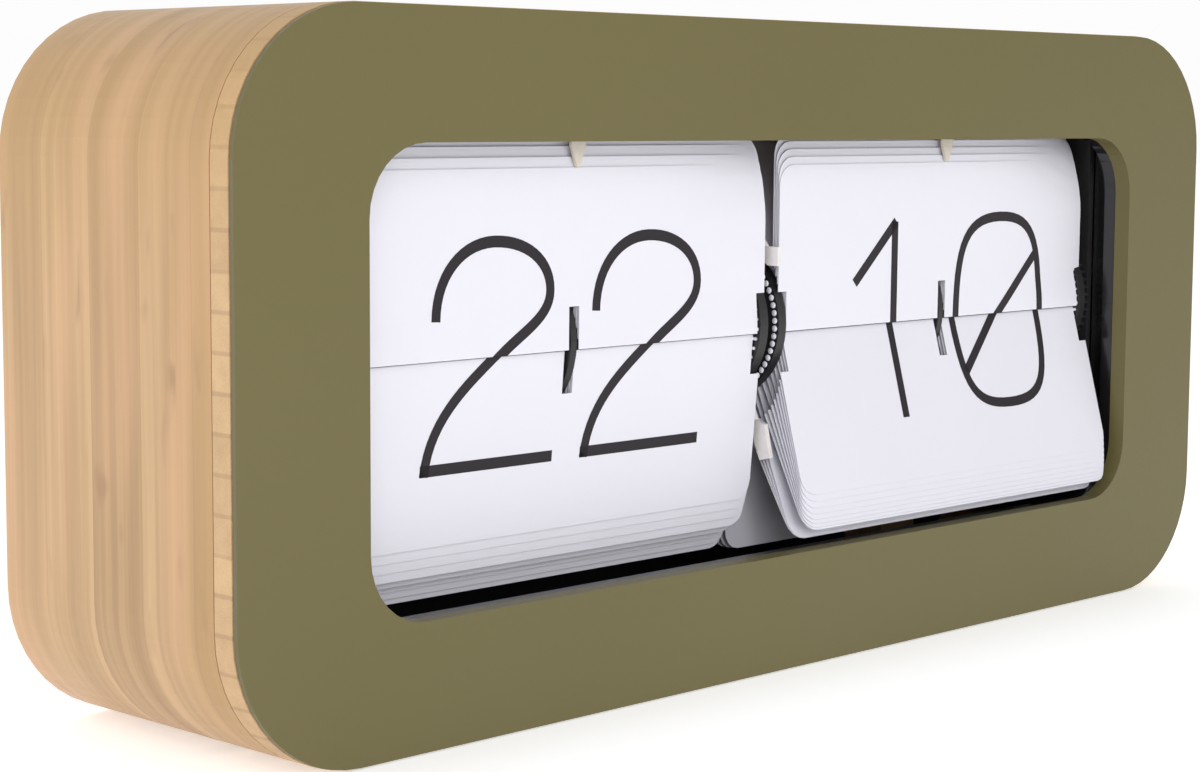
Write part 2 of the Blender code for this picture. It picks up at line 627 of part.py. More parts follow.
def arc_points(centre, radius, start_deg, end_deg, steps):
    """Points along an arc in (y, z), both ends included."""
    points = []
    for i in range(steps + 1):
        angle = math.radians(start_deg + (end_deg - start_deg) * i / steps)
        points.append((centre[0] + radius * math.cos(angle), centre[1] + radius * math.sin(angle)))
    return points


def build_carry_lever():
    """C-shaped lever between the drums that steps the hour drum, with its bracket."""
    half = LEVER_THICKNESS / 2
    centre = (AXLE_Y, AXLE_Z - 2.0 * MM)
    upper_nose = [(FRONT_Y + 14.0 * MM, 106.1 * MM), (FRONT_Y + 10.0 * MM, 106.1 * MM),
                  (FRONT_Y + 10.0 * MM, 101.3 * MM), (FRONT_Y + 13.3 * MM, 101.3 * MM)]
    lower_nose = [(FRONT_Y + 16.9 * MM, 61.6 * MM), (FRONT_Y + 13.8 * MM, 60.6 * MM),
                  (FRONT_Y + 11.9 * MM, 52.1 * MM), (FRONT_Y + 15.3 * MM, 51.3 * MM)]
    outline = upper_nose + arc_points(centre, LEVER_INNER_RADIUS, 125.0, -125.0, 14) + lower_nose
    outline += arc_points(centre, LEVER_OUTER_RADIUS, -118.0, 118.0, 14)
    hole = circle(LEVER_PIN_RADIUS + 0.25 * MM, 12, LEVER_PIVOT)
    body = prism_mesh("X", -half, half, outline, [])
    boss = prism_mesh("X", -half, half, circle(LEVER_BOSS_RADIUS, 16, LEVER_PIVOT), [hole])
    add_object("hour_carry_lever", joined([body, boss]), "white_plastic", (0.0, *LEVER_PIVOT))

    post = prism_mesh("X", 1.0 * MM, 2.0 * MM,
                      box_outline((LEVER_PIVOT[0] - 3.0 * MM, LEVER_PIVOT[1] - 3.0 * MM),
                                  (BRACKET_Y, LEVER_PIVOT[1] + 3.0 * MM)))
    spine = prism_mesh("X", -2.0 * MM, 2.0 * MM,
                       box_outline((BRACKET_Y - 1.0 * MM, 60.0 * MM),
                                   (PANEL_Y - GAP, 120.0 * MM)))
    pin = prism_mesh("X", -half - 0.4 * MM, 1.5 * MM, circle(LEVER_PIN_RADIUS, 12, LEVER_PIVOT))
    add_object("centre_bracket", joined([spine, post, pin]), "black_plastic")


# ---------------------------------------------------------------- power
def build_power():
    """Battery, its cradle and contacts, and the circuit board."""
    centre = (BATTERY_X, BATTERY_Y)
    top = BATTERY_BOTTOM_Z + BATTERY_LENGTH
    can = prism_mesh("Z", BATTERY_BOTTOM_Z, top, circle(BATTERY_RADIUS, 24, centre))
    terminal = prism_mesh("Z", top - 1.0 * MM, top + TERMINAL_HEIGHT,
                          circle(TERMINAL_RADIUS, 12, centre))
    add_object("battery_cell", joined([can, terminal]), "battery_sleeve")

    front = BATTERY_Y - BATTERY_RADIUS - 2.0 * MM
    back = BATTERY_Y + BATTERY_RADIUS
    wall = 1.4 * MM
    floor_z = BATTERY_BOTTOM_Z - 4.0 * MM
    roof_z = top + TERMINAL_HEIGHT + 1.4 * MM
    profile = [(front, floor_z - wall), (back, floor_z - wall), (back, floor_z),
               (front + wall, floor_z), (front + wall, roof_z), (back, roof_z),
               (back, roof_z + wall), (front, roof_z + wall)]
    prism("battery_cradle", "black_plastic", "X", CRADLE_LOW_X, CRADLE_HIGH_X, profile)
    prism("positive_contact", "steel", "Z", top + TERMINAL_HEIGHT + GAP,
          top + TERMINAL_HEIGHT + GAP + 0.6 * MM,
          box_outline((BATTERY_X - 5.0 * MM, BATTERY_Y - 5.0 * MM),
                      (BATTERY_X + 5.0 * MM, BATTERY_Y + 8.0 * MM)))
    build_contact_spring(floor_z + GAP, BATTERY_BOTTOM_Z - GAP)

    board_low = (BATTERY_X - 1.5 * MM, 83.0 * MM)
    board_high = (BATTERY_X + 14.5 * MM, 130.0 * MM)
    board_y = FRONT_Y + 70.0 * MM
    board = prism_mesh("Y", board_y, board_y + 1.6 * MM, box_outline(board_low, board_high))
    chip = prism_mesh("Y", board_y + 1.0 * MM, board_y + 3.2 * MM,
                      box_outline((board_low[0] + 4.0 * MM, 96.0 * MM),
                                  (board_low[0] + 12.0 * MM, 104.0 * MM)))
    add_object("circuit_board", joined([board, chip]), "circuit_green")


def build_contact_spring(low_z, high_z):
    """Conical coil of wire under the battery, as a curve with a round section."""
    wire = 0.4 * MM
    turns = 3
    per_turn = 12
    total = turns * per_turn
    data = bpy.data.curves.new("negative_contact_spring", "CURVE")
    data.dimensions = "3D"
    data.bevel_depth = wire
    data.bevel_resolution = 1
    data.use_fill_caps = True
    spline = data.splines.new("POLY")
    spline.points.add(total)
    for i, point in enumerate(spline.points):
        part = i / total
        angle = math.tau * turns * part
        radius = (6.0 - 2.5 * part) * MM
        height = low_z + wire + (high_z - low_z - 2 * wire) * part
        point.co = (BATTERY_X + radius * math.cos(angle), BATTERY_Y + radius * math.sin(angle),
                    height, 1.0)
    data.materials.append(material("steel"))
    obj = bpy.data.objects.new("negative_contact_spring", data)
    bpy.context.scene.collection.objects.link(obj)


def main():
    """Build the whole clock."""
    clear_scene()
    build_case_shell()
    build_front()
    build_liner()
    build_back()
    build_frame()
    for drum, tilts_of in ((HOUR, hour_tilts), (MINUTE, minute_tilts)):
        build_drum(drum)
        build_leaves(drum, tilts_of)
        build_finger(drum)
    build_gears()
    build_carry_lever()
    build_power()


main()
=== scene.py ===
"""Visual model of the flip number clock on its CAD frame, with the studio round it."""
import json
import math

import bmesh
import bpy
from mathutils import Matrix, Vector


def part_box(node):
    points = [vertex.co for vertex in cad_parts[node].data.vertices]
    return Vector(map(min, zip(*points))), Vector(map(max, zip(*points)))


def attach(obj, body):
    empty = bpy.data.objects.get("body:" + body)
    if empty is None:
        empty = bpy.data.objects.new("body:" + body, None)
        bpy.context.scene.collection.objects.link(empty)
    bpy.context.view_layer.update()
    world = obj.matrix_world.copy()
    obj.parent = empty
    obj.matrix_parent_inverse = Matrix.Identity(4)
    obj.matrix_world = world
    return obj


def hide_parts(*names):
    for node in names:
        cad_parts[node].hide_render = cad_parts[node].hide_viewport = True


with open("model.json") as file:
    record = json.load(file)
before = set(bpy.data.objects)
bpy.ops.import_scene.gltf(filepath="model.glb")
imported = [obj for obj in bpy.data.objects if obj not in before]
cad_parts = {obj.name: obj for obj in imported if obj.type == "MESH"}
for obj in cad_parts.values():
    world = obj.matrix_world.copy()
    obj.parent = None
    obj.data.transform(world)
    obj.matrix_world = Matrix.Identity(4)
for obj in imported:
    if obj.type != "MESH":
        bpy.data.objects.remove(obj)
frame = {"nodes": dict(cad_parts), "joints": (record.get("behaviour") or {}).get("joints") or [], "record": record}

MM = 0.001
NODES = frame["nodes"]
JOINTS = {joint["name"]: joint for joint in frame["joints"]}
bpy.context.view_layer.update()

CASE_LOW, CASE_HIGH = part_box("case_shell")
MIDDLE_Z = (CASE_LOW.z + CASE_HIGH.z) / 2
CASE_RADIUS = 32.9 * MM
CORNER_X = CASE_HIGH.x - CASE_RADIUS
CORNER_Z = (CASE_HIGH.z - CASE_LOW.z) / 2 - CASE_RADIUS
QUARTER = CORNER_Z + CASE_RADIUS * math.pi / 2 + CORNER_X
STRIP_WIDTH = 18.0 * MM
STRIP_START = -28.0 * MM
END_BLOCK = 8.3 * MM

STROKE = 2.7 * MM
PRINT_LIFT = 0.04 * MM
PIN_CIRCLE = 19.0 * MM
HALF_WIDTH = 68.8 * MM
DRUMS = {
    "hour": {"step": 7.5, "count": 48, "first_top": -2.6, "tops": 4, "lows": 6,
             "edge": 1.05 * MM, "curl": (0.7 * MM, 2.8 * MM)},
    "minute": {"step": 6.0, "count": 60, "first_top": -3.3, "tops": 5, "lows": 8,
               "edge": 0.85 * MM, "curl": (1.8 * MM, 4.5 * MM)},
}
CURL_RISE = 10.0 * MM
CURL_CORNER = 27.0 * MM
CURL_CUTS_X = range(6, 68, 5)
CURL_CUTS_Z = (2, 4, 6, 8, 10, 18, 27, 29, 31, 33, 35, 37, 39)
LEAF_LENGTH = 41.6 * MM
LEAF_HALF_THICKNESS = 0.1 * MM
AXLE = Vector(JOINTS["minute_drum_turn"]["pos_m"])

# directions of the leaves behind the front ones, by the angle of their pins, in degrees
TOP_SPREAD = 1.05
BACK_DROOP = 66.0
BACK_DROOP_POWER = 1.75
MINUTE_LAST_LEANING = -78.0
MINUTE_TIPS_Y = -35.6 * MM
HOUR_FIRST_LEAN = 5.4
HOUR_SECOND_LEAN = 3.2
HOUR_MORE_FROM = -62.0
HOUR_LESS_FROM = -108.0
HOUR_MOST_LEAN = 26.0
HOUR_LEAN_GAIN = 0.5
HOUR_LEAN_LOSS = 0.15

PIN_END_PROFILE = ((0.80, -0.10), (0.80, 0.14), (0.62, 0.30), (0.33, 0.38))
PIN_END_SIDES = 12
SCREW_SHANK = 1.4 * MM
SCREW_HEAD = 3.0 * MM
SCREW_HEAD_HEIGHT = 1.6 * MM
SCREW_SIDES = 32
RECESS_HALF_WIDTH = 0.3 * MM
RECESS_REACH = 1.3 * MM
RECESS_DEPTH = 0.9 * MM
RECESS_TAPER = 0.8
FLAT = 1e-6
RIDGE_COUNT = 5
RIDGE_PITCH = 2.2 * MM
RIDGE_TOP = 8.5 * MM
RIDGE_HALF = Vector((8.0, 0.0, 0.5)) * MM
FRAME_BAR = 1.6 * MM

CAMERA_PLACE = (-0.493307, -0.451055, 0.139670)
CAMERA_YAW, CAMERA_PITCH, CAMERA_ROLL = 0.7967, -0.1067, 0.0054
CAMERA_LENS = 76.63
LIGHTS_AIM = (0.0, 0.0, 0.08)
FLOOR_SIZE = 12.0
FLOOR_DROP = 0.2 * MM


# ---------------------------------------------------------------- node helpers
def add_node(tree, kind, inputs=(), output=0, **settings):
    """Adds a shader node; inputs maps a socket to a value or to another node's output."""
    node = tree.nodes.new("ShaderNode" + kind)
    for key, value in settings.items():
        setattr(node, key, value)
    for key, value in dict(inputs).items():
        if isinstance(value, bpy.types.NodeSocket):
            tree.links.new(value, node.inputs[key])
        else:
            node.inputs[key].default_value = value
    return node.outputs[output]


def calc(tree, operation, a, b=0.0, c=0.0):
    """One Math node."""
    inputs = {0: a, 1: b}
    if operation in ("MULTIPLY_ADD", "WRAP", "SMOOTH_MIN"):
        inputs[2] = c
    return add_node(tree, "Math", inputs, operation=operation)


def ramp(tree, value, low, high, to_low=0.0, to_high=1.0):
    """Smoothly maps value from low..high to to_low..to_high."""
    return add_node(tree, "MapRange", {0: value, 1: low, 2: high, 3: to_low, 4: to_high},
                    interpolation_type="SMOOTHSTEP")


def mix(tree, factor, a, b):
    """Mixes two colours, given as tuples or sockets."""
    colours = [(*c, 1.0) if isinstance(c, tuple) else c for c in (a, b)]
    return add_node(tree, "Mix", {0: factor, 6: colours[0], 7: colours[1]}, 2, data_type="RGBA")


def combine(tree, x, y, z):
    """A vector from three numbers."""
    return add_node(tree, "CombineXYZ", {0: x, 1: y, 2: z})


def noise(tree, vector, scale, detail=2.0, roughness=0.5):
    """Noise value 0..1 at vector."""
    return add_node(tree, "TexNoise", {"Vector": vector, "Scale": scale, "Detail": detail,
                                       "Roughness": roughness})


def finish(name, roughness, metallic=0.0, specular=0.5, coat=0.0, coat_roughness=0.1):
    """A new material: (material, node tree, principled node)."""
    material = bpy.data.materials.new(name)
    material.use_nodes = True
    tree = material.node_tree
    shader = tree.nodes["Principled BSDF"]
    shader.inputs["Roughness"].default_value = roughness
    shader.inputs["Metallic"].default_value = metallic
    shader.inputs["Specular IOR Level"].default_value = specular
    shader.inputs["Coat Weight"].default_value = coat
    shader.inputs["Coat Roughness"].default_value = coat_roughness
    return material, tree, shader


def place(tree):
    """(vector, x, y, z) of the surface point in the clock's frame."""
    vector = add_node(tree, "TexCoord", output=3)
    split = tree.nodes.new("ShaderNodeSeparateXYZ")
    tree.links.new(vector, split.inputs[0])
    return (vector, *split.outputs)


def bump(tree, shader, height, distance, strength=1.0):
    """Bump from a height of 0..1 that is distance metres deep."""
    normal = add_node(tree, "Bump", {"Height": height, "Distance": distance, "Strength": strength})
    tree.links.new(normal, shader.inputs["Normal"])


def round_the_case(tree, x, z):
    """(run, radius): distance along the case's outline from the middle of its base, and
    distance from the outline's core, so that grain follows the bent corners."""
    side = calc(tree, "SIGN", x)
    height = calc(tree, "SUBTRACT", z, MIDDLE_Z)
    upper = calc(tree, "SIGN", height)
    ax, az = calc(tree, "ABSOLUTE", x), calc(tree, "ABSOLUTE", height)
    mx, mz = calc(tree, "MINIMUM", ax, CORNER_X), calc(tree, "MINIMUM", az, CORNER_Z)
    qx, qz = calc(tree, "SUBTRACT", ax, mx), calc(tree, "SUBTRACT", az, mz)
    angle = calc(tree, "ARCTAN2", qz, qx)
    along = calc(tree, "MULTIPLY_ADD", angle, CASE_RADIUS, mz)
    along = calc(tree, "ADD", along, calc(tree, "SUBTRACT", CORNER_X, mx))
    along = calc(tree, "SUBTRACT", QUARTER, calc(tree, "MULTIPLY", upper, along))
    run = calc(tree, "MULTIPLY_ADD", side, along, 2 * QUARTER)
    square = calc(tree, "ADD", calc(tree, "MULTIPLY", qx, qx), calc(tree, "MULTIPLY", qz, qz))
    return run, calc(tree, "SQRT", square)


# ---------------------------------------------------------------- finishes
def bamboo_finish():
    """Strip bamboo bent round the case: strips, fibres, node rings, glue lines and painted shade towards the top
    and the front edge.
    """
    material, tree, shader = finish("bamboo", 0.42, specular=0.4)
    _, x, y, z = place(tree)
    run, radius = round_the_case(tree, x, z)
    strip = calc(tree, "DIVIDE", calc(tree, "SUBTRACT", y, STRIP_START), STRIP_WIDTH)
    number = calc(tree, "FLOOR", strip)
    inside = calc(tree, "FRACT", strip)
    tone = add_node(tree, "TexWhiteNoise", {"W": number}, noise_dimensions="1D")
    shift = calc(tree, "MULTIPLY", number, 0.37)
    grain = combine(tree, calc(tree, "MULTIPLY", calc(tree, "ADD", run, shift), 6.0),
                    calc(tree, "MULTIPLY", y, 420.0), calc(tree, "MULTIPLY", radius, 420.0))
    fibre = noise(tree, grain, 1.0, 4.0, 0.62)
    broad = noise(tree, combine(tree, calc(tree, "MULTIPLY", calc(tree, "ADD", run, shift), 3.0),
                                calc(tree, "MULTIPLY", y, 95.0),
                                calc(tree, "MULTIPLY", radius, 95.0)), 1.0, 3.0, 0.55)
    smear = noise(tree, combine(tree, calc(tree, "MULTIPLY", calc(tree, "ADD", run, shift), 45.0),
                                calc(tree, "MULTIPLY", y, 120.0), 0.0), 1.0, 2.0, 0.5)
    light = calc(tree, "MULTIPLY_ADD", tone, 0.26, 0.30)
    light = calc(tree, "MULTIPLY_ADD", calc(tree, "SUBTRACT", fibre, 0.5), 1.0, light)
    light = calc(tree, "MULTIPLY_ADD", calc(tree, "SUBTRACT", broad, 0.5), 1.5, light)
    colour = mix(tree, light, (0.36, 0.222, 0.11), (0.63, 0.42, 0.226))
    # painted shade: the colour darkens towards the top of the case, where less light falls, and towards its front
    # edge
    painted_shade = calc(tree, "MAXIMUM", ramp(tree, y, -14.0 * MM, -34.0 * MM),
                   ramp(tree, z, 90.0 * MM, 155.0 * MM))
    colour = mix(tree, calc(tree, "MULTIPLY", painted_shade, 0.7), colour, (0.44, 0.27, 0.11))
    warm = noise(tree, combine(tree, calc(tree, "MULTIPLY", run, 9.0),
                               calc(tree, "MULTIPLY", y, 60.0), 3.0), 1.0, 1.0)
    colour = mix(tree, ramp(tree, warm, 0.42, 0.68, 0.0, 0.45), colour, (0.66, 0.395, 0.225))
    ring = calc(tree, "MULTIPLY", ramp(tree, smear, 0.60, 0.78), ramp(tree, fibre, 0.35, 0.6))
    colour = mix(tree, calc(tree, "MULTIPLY", ring, 0.7), colour, (0.30, 0.17, 0.085))
    edge = calc(tree, "MINIMUM", inside, calc(tree, "SUBTRACT", 1.0, inside))
    glue = ramp(tree, edge, 0.0, 0.014, 0.30, 0.0)
    colour = mix(tree, glue, colour, (0.30, 0.18, 0.09))
    tree.links.new(colour, shader.inputs["Base Color"])
    tree.links.new(calc(tree, "MULTIPLY_ADD", fibre, -0.16, 0.52), shader.inputs["Roughness"])
    bump(tree, shader, fibre, 0.05 * MM)
    return material


def bamboo_end_finish():
    """End grain of the bamboo front board: blocks with dark joints, open pores and painted shade towards the top.
    """
    material, tree, shader = finish("bamboo_end", 0.5, specular=0.35)
    vector, x, _, z = place(tree)
    run, _ = round_the_case(tree, x, z)
    block = calc(tree, "DIVIDE", run, END_BLOCK)
    tone = add_node(tree, "TexWhiteNoise", {"W": calc(tree, "FLOOR", block)},
                    noise_dimensions="1D")
    inside = calc(tree, "FRACT", block)
    pores = noise(tree, vector, 2600.0, 2.0, 0.7)
    cloud = noise(tree, vector, 260.0, 2.0)
    light = calc(tree, "MULTIPLY_ADD", tone, 0.45, 0.18)
    light = calc(tree, "MULTIPLY_ADD", calc(tree, "SUBTRACT", cloud, 0.5), 0.7, light)
    light = calc(tree, "MULTIPLY_ADD", calc(tree, "SUBTRACT", pores, 0.5), 0.9, light)
    colour = mix(tree, light, (0.47, 0.305, 0.16), (0.68, 0.46, 0.25))
    joint = ramp(tree, inside, 0.86, 0.90, 0.0, 0.34)
    joint = calc(tree, "MULTIPLY", joint, ramp(tree, inside, 0.97, 1.0, 1.0, 0.35))
    colour = mix(tree, joint, colour, (0.27, 0.17, 0.095))
    # painted shade: the end grain darkens towards the top, where less light falls
    colour = mix(tree, ramp(tree, z, 100.0 * MM, 155.0 * MM, 0.0, 0.6), colour,
                 (0.45, 0.28, 0.115))
    tree.links.new(colour, shader.inputs["Base Color"])
    bump(tree, shader, pores, 0.04 * MM)
    return material


def lacquer_finish():
    """Satin olive lacquer with a fine orange peel, greyer on the sheet's cut edge."""
    material, tree, shader = finish("olive_lacquer", 0.40, specular=0.28, coat=0.06,
                                    coat_roughness=0.25)
    vector, x, _, z = place(tree)
    _, radius = round_the_case(tree, x, z)
    drift = noise(tree, vector, 9.0, 2.0)
    peel = noise(tree, vector, 900.0, 2.0)
    colour = mix(tree, drift, (0.127, 0.108, 0.040), (0.139, 0.119, 0.046))
    rim = ramp(tree, radius, CASE_RADIUS - 0.35 * MM, CASE_RADIUS - 0.05 * MM)
    colour = mix(tree, rim, colour, (0.155, 0.136, 0.085))
    tree.links.new(colour, shader.inputs["Base Color"])
    tree.links.new(ramp(tree, peel, 0.2, 0.8, 0.37, 0.44), shader.inputs["Roughness"])
    bump(tree, shader, peel, 0.004 * MM)
    return material


def plastic_finish(name, dark, light, roughness, grain, depth, coat=0.0):
    """Moulded plastic: fine grain in its bump, roughness and colour."""
    material, tree, shader = finish(name, roughness, coat=coat)
    vector = place(tree)[0]
    fine = noise(tree, vector, grain, 3.0, 0.6)
    cloud = noise(tree, vector, 38.0, 2.0)
    both = calc(tree, "MULTIPLY_ADD", fine, 0.5, calc(tree, "MULTIPLY", cloud, 0.5))
    tree.links.new(mix(tree, ramp(tree, both, 0.3, 0.7), dark, light),
                   shader.inputs["Base Color"])
    tree.links.new(ramp(tree, fine, 0.25, 0.75, roughness - 0.05, roughness + 0.05),
                   shader.inputs["Roughness"])
    bump(tree, shader, fine, depth)
    return material


def steel_finish(name, dark, light, roughness, stretch):
    """Drawn or turned steel: fine streaks across the stretch direction."""
    material, tree, shader = finish(name, roughness, metallic=1.0)
    vector = place(tree)[0]
    drawn = add_node(tree, "Mapping", {0: vector, 3: stretch})
    streak = noise(tree, drawn, 1.0, 3.0, 0.6)
    tree.links.new(mix(tree, streak, dark, light), shader.inputs["Base Color"])
    tree.links.new(ramp(tree, streak, 0.3, 0.7, roughness - 0.08, roughness + 0.08),
                   shader.inputs["Roughness"])
    bump(tree, shader, streak, 0.006 * MM)
    return material


def sleeve_finish():
    """Printed battery sleeve: dark body, copper-coloured shoulder, bare metal ends."""
    material, tree, shader = finish("battery_sleeve", 0.32, metallic=0.6)
    vector, _, _, z = place(tree)
    low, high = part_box("battery_cell")
    length = high.z - low.z
    up = calc(tree, "DIVIDE", calc(tree, "SUBTRACT", z, low.z), length)
    scuff = noise(tree, vector, 240.0, 3.0)
    colour = mix(tree, ramp(tree, up, 0.66, 0.665), (0.03, 0.035, 0.05), (0.55, 0.27, 0.12))
    bare = calc(tree, "MAXIMUM", ramp(tree, up, 0.03, 0.035, 1.0, 0.0), ramp(tree, up, 0.945, 0.95))
    colour = mix(tree, bare, colour, (0.6, 0.6, 0.61))
    tree.links.new(mix(tree, calc(tree, "MULTIPLY", scuff, 0.12), colour, (0.5, 0.5, 0.5)),
                   shader.inputs["Base Color"])
    tree.links.new(ramp(tree, scuff, 0.3, 0.7, 0.26, 0.42), shader.inputs["Roughness"])
    return material


def board_finish():
    """Circuit board: solder mask over copper tracks on a grid."""
    material, tree, shader = finish("circuit_green", 0.34, coat=0.3)
    vector = place(tree)[0]
    track = add_node(tree, "TexBrick", {"Vector": vector, "Scale": 260.0, "Mortar Size": 0.09},
                     output=1)
    grain = noise(tree, vector, 700.0)
    colour = mix(tree, calc(tree, "MULTIPLY", track, 0.6), (0.012, 0.085, 0.035), (0.03, 0.17, 0.06))
    tree.links.new(colour, shader.inputs["Base Color"])
    bump(tree, shader, calc(tree, "ADD", track, calc(tree, "MULTIPLY", grain, 0.2)), 0.03 * MM)
    return material


def leaf_finish():
    """Satin white sheet with a faint mottle, thin enough to let some light through."""
    material, tree, shader = finish("leaf_white", 0.42, specular=0.45)
    shader.inputs["Subsurface Weight"].default_value = 0.1
    shader.inputs["Subsurface Radius"].default_value = (1.0, 1.0, 1.0)
    shader.inputs["Subsurface Scale"].default_value = 1.2 * MM
    vector = place(tree)[0]
    mottle = noise(tree, vector, 26.0, 3.0)
    fine = noise(tree, vector, 1400.0, 2.0)
    tree.links.new(mix(tree, mottle, (0.715, 0.708, 0.778), (0.742, 0.735, 0.80)),
                   shader.inputs["Base Color"])
    tree.links.new(ramp(tree, fine, 0.3, 0.7, 0.38, 0.46), shader.inputs["Roughness"])
    bump(tree, shader, fine, 0.002 * MM)
    return material


def ink_finish():
    """Screen-printed ink: near black, slightly uneven."""
    material, tree, shader = finish("numeral_ink", 0.45, specular=0.2)
    vector = place(tree)[0]
    grain = noise(tree, vector, 1800.0, 2.0)
    tree.links.new(mix(tree, grain, (0.018, 0.015, 0.018), (0.026, 0.022, 0.026)),
                   shader.inputs["Base Color"])
    tree.links.new(ramp(tree, grain, 0.3, 0.7, 0.4, 0.5), shader.inputs["Roughness"])
    return material


FINISHES = {
    "bamboo": bamboo_finish(),
    "bamboo_end": bamboo_end_finish(),
    "olive_lacquer": lacquer_finish(),
    "black_gloss": plastic_finish("black_gloss", (0.006, 0.006, 0.007), (0.010, 0.010, 0.011),
                                  0.22, 400.0, 0.004 * MM, coat=0.3),
    "black_plastic": plastic_finish("black_plastic", (0.010, 0.010, 0.011),
                                    (0.018, 0.017, 0.019), 0.48, 1300.0, 0.02 * MM),
    "leaf_white": leaf_finish(),
    "ivory_plastic": plastic_finish("ivory_plastic", (0.62, 0.56, 0.47), (0.69, 0.63, 0.54),
                                    0.42, 700.0, 0.01 * MM),
    "white_plastic": plastic_finish("white_plastic", (0.70, 0.66, 0.65), (0.77, 0.74, 0.73),
                                    0.42, 700.0, 0.01 * MM),
    "steel": steel_finish("steel", (0.46, 0.46, 0.48), (0.66, 0.66, 0.67), 0.3,
                          (60.0, 900.0, 900.0)),
    "gear_plastic": plastic_finish("gear_plastic", (0.60, 0.58, 0.52), (0.70, 0.68, 0.61), 0.38,
                                   600.0, 0.01 * MM),
    "battery_sleeve": sleeve_finish(),
    "circuit_green": board_finish(),
    "numeral_ink": ink_finish(),
}
for part in frame["record"]["subparts"]:
    node = NODES[part["node"]]
    node.data.materials.clear()
    node.data.materials.append(FINISHES[part["material_slot"]])


def round_edges(name, width, segments=2, angle=40.0):
    """Rounds a CAD node's sharp edges with a bevel modifier that hardens the normals, leaving its own mesh as it
    is.
    """
    node = NODES[name]
    bevel = node.modifiers.new("rounded edges", "BEVEL")
    bevel.width, bevel.segments = width, segments
    bevel.limit_method, bevel.angle_limit = "ANGLE", math.radians(angle)
    bevel.harden_normals = True
    bevel.miter_outer = "MITER_ARC"


for name, width in (("case_shell", 0.35 * MM), ("front_board", 0.15 * MM),
                    ("front_fascia", 0.30 * MM), ("back_panel", 0.3 * MM),
                    ("battery_door", 0.3 * MM)):
    round_edges(name, width)


# ---------------------------------------------------------------- mesh helpers
def make_piece(name, mesh, body, finish_name):
    """Links a mesh as a piece that rides on a body."""
    piece = bpy.data.objects.new(name, mesh)
    bpy.context.scene.collection.objects.link(piece)
    mesh.materials.clear()
    mesh.materials.append(FINISHES[finish_name])
    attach(piece, body)
    return piece


def mesh_from(name, bm, sharp=35.0):
    """A mesh from a bmesh, smooth with sharp creases."""
    bmesh.ops.recalc_face_normals(bm, faces=bm.faces[:])
    mesh = bpy.data.meshes.new(name)
    bm.to_mesh(mesh)
    bm.free()
    mesh.shade_smooth()
    mesh.set_sharp_from_angle(angle=math.radians(sharp))
    return mesh


def skin_rings(bm, rings):
    """Joins neighbouring rings of points with faces and closes both ends."""
    count = len(rings[0])
    for inner, outer in zip(rings, rings[1:]):
        for k in range(count):
            bm.faces.new((inner[k], inner[(k + 1) % count], outer[(k + 1) % count], outer[k]))
    bm.faces.new(rings[0])
    bm.faces.new(rings[-1])


# ---------------------------------------------------------------- printed numerals
def bezier(p0, p1, p2, p3, steps=14):
    """Points along a cubic from p0 to p3, the first left out."""
    points = []
    for i in range(1, steps + 1):
        t = i / steps
        s = 1 - t
        points.append(tuple(s ** 3 * a + 3 * s * s * t * b + 3 * s * t * t * c + t ** 3 * d
                            for a, b, c, d in zip(p0, p1, p2, p3)))
    return points


def two(left):
    """Centre line of a 2 whose left edge is at left, in mm, heights from the seam."""
    start, top, right = (left + 0.5, 9.0), (left + 18.3, 26.4), (left + 36.1, 14.6)
    middle, foot = (left + 20.0, 0.1), (left, -26.3)
    line = [start] + bezier(start, (left + 0.5, 19.4), (left + 8.2, 26.4), top)
    line += bezier(top, (left + 28.6, 26.4), (left + 36.1, 21.4), right)
    line += bezier(right, (left + 36.1, 8.3), (left + 27.6, 5.6), middle)
    line += bezier(middle, (left + 10.6, -6.8), (left + 0.9, -13.6), foot)
    return [line, [(left - 1.2, -25.0), (left + 40.3, -25.0)]]


def three(left):
    """Centre line of a 3."""
    start, top, right = (left + 1.0, 14.0), (left + 17.0, 26.4), (left + 32.0, 14.0)
    waist, low, base = (left + 15.0, 2.0), (left + 35.0, -11.6), (left + 17.0, -25.2)
    line = [start] + bezier(start, (left + 1.0, 21.4), (left + 8.0, 26.4), top)
    line += bezier(top, (left + 26.0, 26.4), (left + 32.0, 21.4), right)
    line += bezier(right, (left + 32.0, 6.4), (left + 25.0, 2.0), waist)
    line += bezier(waist, (left + 28.0, 2.0), (left + 35.0, -3.6), low)
    line += bezier(low, (left + 35.0, -19.6), (left + 27.4, -25.2), base)
    line += bezier(base, (left + 8.0, -25.2), (left, -20.0), (left, -12.4))
    return [line]


def one(stem):
    """Centre lines of a 1 with its stem at stem."""
    return [[(stem, 27.0), (stem, -25.9)], [(stem + 0.5, 27.1), (stem - 16.8, 11.2)]]


def nought(centre):
    """Outline of a slashed 0 round centre, and its slash."""
    wide, high, low, full = 20.0, 26.3, -26.3, 0.78
    top, right, bottom, left = ((centre, high + 0.9), (centre + wide, 0.4), (centre, low + 0.9),
                                (centre - wide, 0.4))
    line = [top] + bezier(top, (centre + full * wide, top[1]), (right[0], full * high), right)
    line += bezier(right, (right[0], full * low), (centre + full * wide, bottom[1]), bottom)
    line += bezier(bottom, (centre - full * wide, bottom[1]), (left[0], full * low), left)
    line += bezier(left, (left[0], full * high), (centre - full * wide, top[1]), top)
    return [line, [(centre - 17.6, -15.4), (centre + 17.6, 16.2)]]


